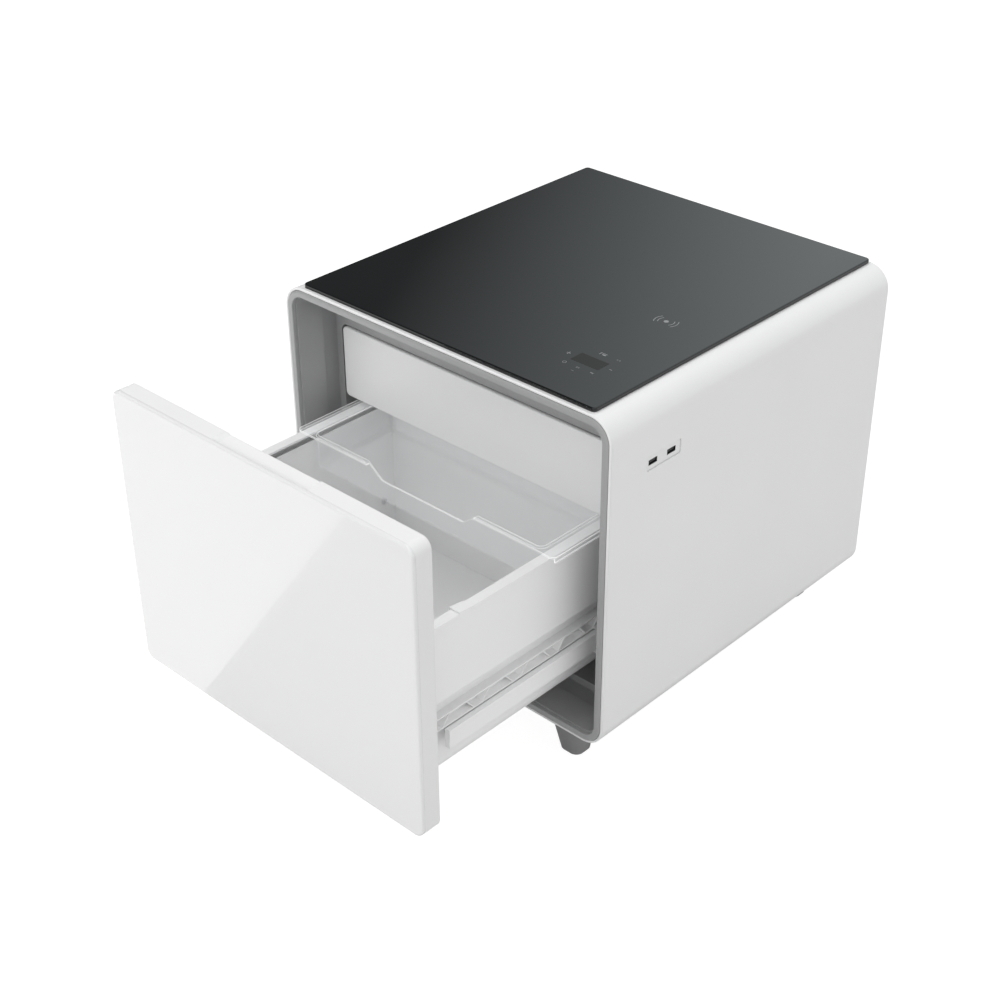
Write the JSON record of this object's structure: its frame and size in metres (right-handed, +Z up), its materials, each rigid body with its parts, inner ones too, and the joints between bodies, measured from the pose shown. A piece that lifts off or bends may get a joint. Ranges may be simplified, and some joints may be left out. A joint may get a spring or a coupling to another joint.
{
  "type": "refrigerator coffee table",
  "caption": "Low refrigerated coffee table with a glass top, a sliding chilled drawer on telescopic slides, a clear tray and a medicine box.",
  "frame": {"origin": "on the floor, under the centre of the whole object with its drawer fully open", "axes": "+Z up, +Y from the drawer's face to the back, +X to the right of someone who faces the drawer"},
  "size_m": [0.48, 0.744, 0.464],
  "materials": {
    "shell_enamel": "smooth white enamel",
    "frame_grey": "satin moulded grey",
    "liner_grey": "satin vacuum-formed grey",
    "foam": "rigid foam",
    "black_glass": "back-painted tempered glass, polished",
    "black_plastic": "fine grain",
    "circuit_board": "solder mask",
    "ferrite": "sintered",
    "copper": "drawn tube and wire",
    "bright_steel": "nickel plated",
    "foot_plastic": "satin grey",
    "rubber": "soft rubber",
    "gloss_white": "high gloss",
    "white_plastic": "satin moulded white",
    "slide_white": "white powder coat",
    "zinc_steel": "zinc plated sheet",
    "clear_plastic": "clear moulded plastic",
    "gloss_grey": "gloss grey",
    "aluminium": "rolled",
    "black_enamel": "black enamel"
  },
  "bodies": {
    "cabinet": {"base_plate": "zinc_steel", "box_runner_left": "liner_grey", "box_runner_right": "liner_grey", "bracket_screws": "bright_steel", "bulkhead": "zinc_steel", "capillary_tube": "copper", "charging_coil": "copper", "coil_ferrite": "ferrite", "compressor": "black_enamel", "compressor_mounts": "rubber", "condenser_brackets": "zinc_steel", "condenser_coil": "black_enamel", "control_board": "circuit_board", "discharge_line": "copper", "electronics_tray": "black_plastic", "evaporator_plate": "aluminium", "evaporator_tube": "aluminium", "fan_frame": "black_plastic", "fan_motor": "zinc_steel", "filter_drier": "copper", "foot_left_front": "foot_plastic", "foot_left_rear": "foot_plastic", "foot_pads": "rubber", "foot_right_front": "foot_plastic", "foot_right_rear": "foot_plastic", "foot_screws": "bright_steel", "front_frame": "frame_grey", "glass_top": "black_glass", "inner_liner": "liner_grey", "insulation_foam": "foam", "outer_shell": "shell_enamel", "power_inlet": "black_plastic", "rear_panel": "shell_enamel", "rear_screws": "bright_steel", "slide_bracket_left": "zinc_steel", "slide_bracket_right": "zinc_steel", "slide_outer_left": "slide_white", "slide_outer_right": "slide_white", "suction_line": "copper", "temperature_sensor": "white_plastic", "touch_board": "circuit_board", "usb_bezel": "frame_grey", "usb_board": "circuit_board", "usb_sockets": "bright_steel"},
    "drawer": {"door_front_panel": "gloss_white", "door_body": "white_plastic", "door_foam": "foam", "door_gasket": "rubber", "drawer_tub": "white_plastic", "drawer_screws": "bright_steel", "slide_inner_left": "slide_white", "slide_inner_right": "slide_white"},
    "left_cage": {"ball_cage_left": "zinc_steel", "slide_balls_left": "bright_steel"},
    "right_cage": {"ball_cage_right": "zinc_steel", "slide_balls_right": "bright_steel"},
    "tray": {"clear_tray": "clear_plastic"},
    "medicine_drawer": {"medicine_box": "white_plastic", "medicine_box_front": "gloss_grey"},
    "fan": {"fan_rotor": "black_plastic"}
  },
  "joints": [
    {"name": "drawer_slide", "type": "slide", "parent": "cabinet", "child": "drawer", "axis": [0, 1, 0], "range_m": [0, 0.255]},
    {"name": "left_cage_slide", "type": "slide", "parent": "cabinet", "child": "left_cage", "axis": [0, 1, 0], "range_m": [0, 0.1275]},
    {"name": "right_cage_slide", "type": "slide", "parent": "cabinet", "child": "right_cage", "axis": [0, 1, 0], "range_m": [0, 0.1275]},
    {"name": "tray_slide", "type": "slide", "parent": "drawer", "child": "tray", "axis": [0, 1, 0], "range_m": [-0.11, 0]},
    {"name": "box_slide", "type": "slide", "parent": "cabinet", "child": "medicine_drawer", "axis": [0, 1, 0], "range_m": [-0.024, 0]},
    {"name": "fan_spin", "type": "hinge", "parent": "cabinet", "child": "fan", "pos_m": [-0.1, 0.358, 0.33], "axis": [0, 1, 0], "continuous": true}
  ],
  "couplings": [
    {"joint": "left_cage_slide", "follows": "drawer_slide", "ratio": 0.5},
    {"joint": "right_cage_slide", "follows": "drawer_slide", "ratio": 0.5}
  ]
}
